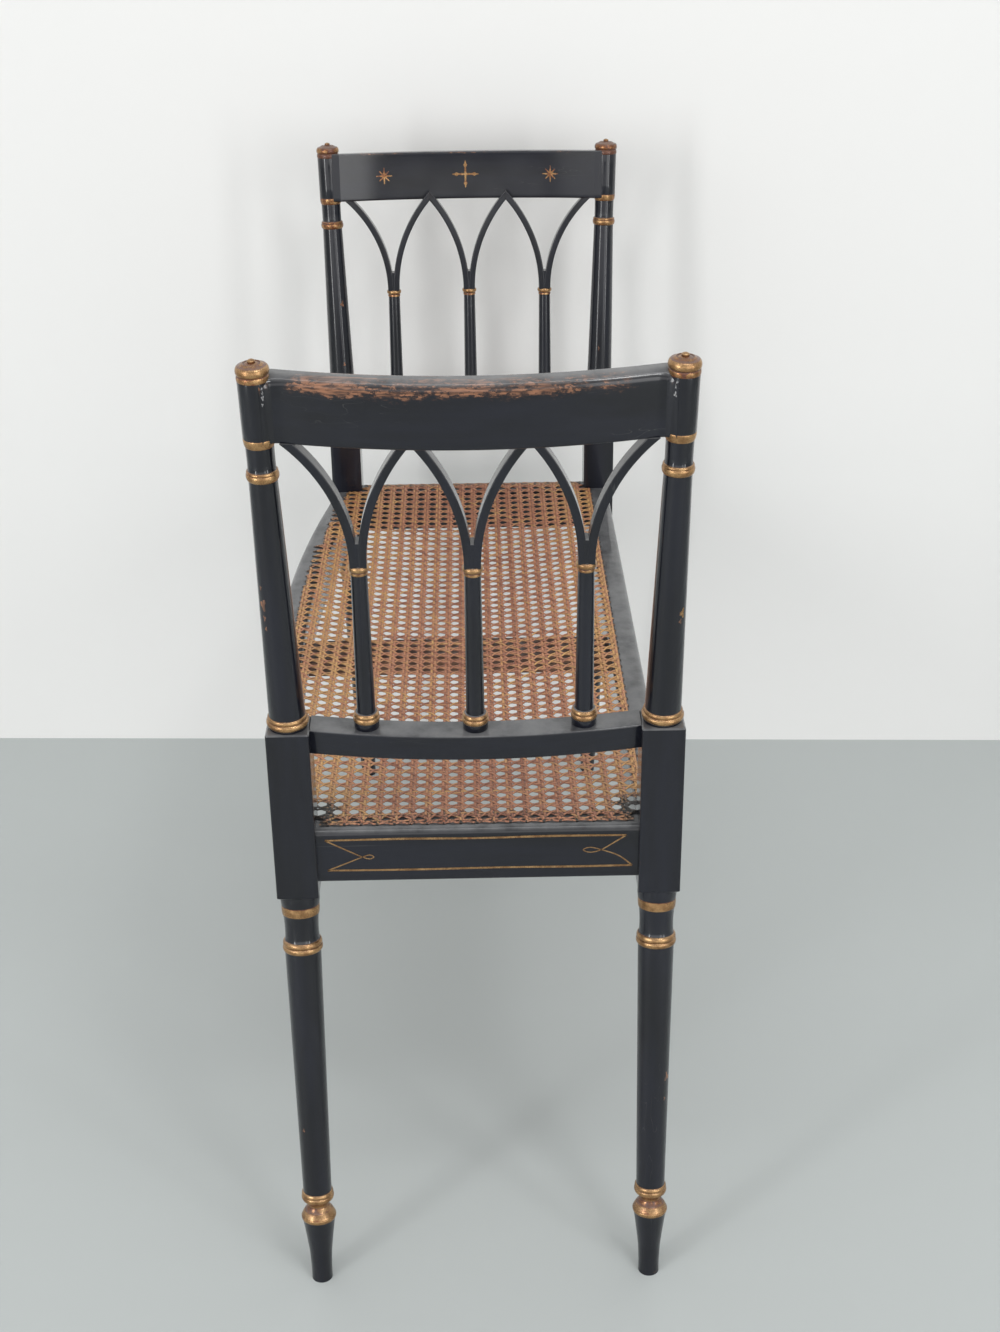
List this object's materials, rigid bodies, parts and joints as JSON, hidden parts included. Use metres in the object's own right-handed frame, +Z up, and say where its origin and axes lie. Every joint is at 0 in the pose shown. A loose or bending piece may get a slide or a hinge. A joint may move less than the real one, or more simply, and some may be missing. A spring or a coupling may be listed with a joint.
{
  "type": "window seat",
  "caption": "Backless caned window seat with raised ends of slender spindles and pointed arches between leaning turned columns, on splayed turned legs, in black and gilt.",
  "frame": {"origin": "middle of the footprint, on the floor", "axes": "+X along the length towards the end that is nearest in the picture, -Y towards the bowed front rail, +Z up"},
  "size_m": [0.9062, 0.3574, 0.8103],
  "materials": {
    "ebonised_wood": "satin black paint, worn at the edges, with gilt turnings",
    "cane": "open weave, warm tan, satin"
  },
  "bodies": {
    "root": {"post_near_front": "ebonised_wood", "post_near_back": "ebonised_wood", "post_far_front": "ebonised_wood", "post_far_back": "ebonised_wood", "crest_rail_near": "ebonised_wood", "crest_rail_far": "ebonised_wood", "lower_rail_near": "ebonised_wood", "lower_rail_far": "ebonised_wood", "spindle_near_front": "ebonised_wood", "spindle_near_middle": "ebonised_wood", "spindle_near_back": "ebonised_wood", "spindle_far_front": "ebonised_wood", "spindle_far_middle": "ebonised_wood", "spindle_far_back": "ebonised_wood", "rib_near_1": "ebonised_wood", "rib_near_2": "ebonised_wood", "rib_near_3": "ebonised_wood", "rib_near_4": "ebonised_wood", "rib_near_5": "ebonised_wood", "rib_near_6": "ebonised_wood", "rib_far_1": "ebonised_wood", "rib_far_2": "ebonised_wood", "rib_far_3": "ebonised_wood", "rib_far_4": "ebonised_wood", "rib_far_5": "ebonised_wood", "rib_far_6": "ebonised_wood", "end_rail_near": "ebonised_wood", "end_rail_far": "ebonised_wood", "front_rail": "ebonised_wood", "back_rail": "ebonised_wood", "seat_brace": "ebonised_wood", "cane_seat": "cane"}
  },
  "joints": []
}
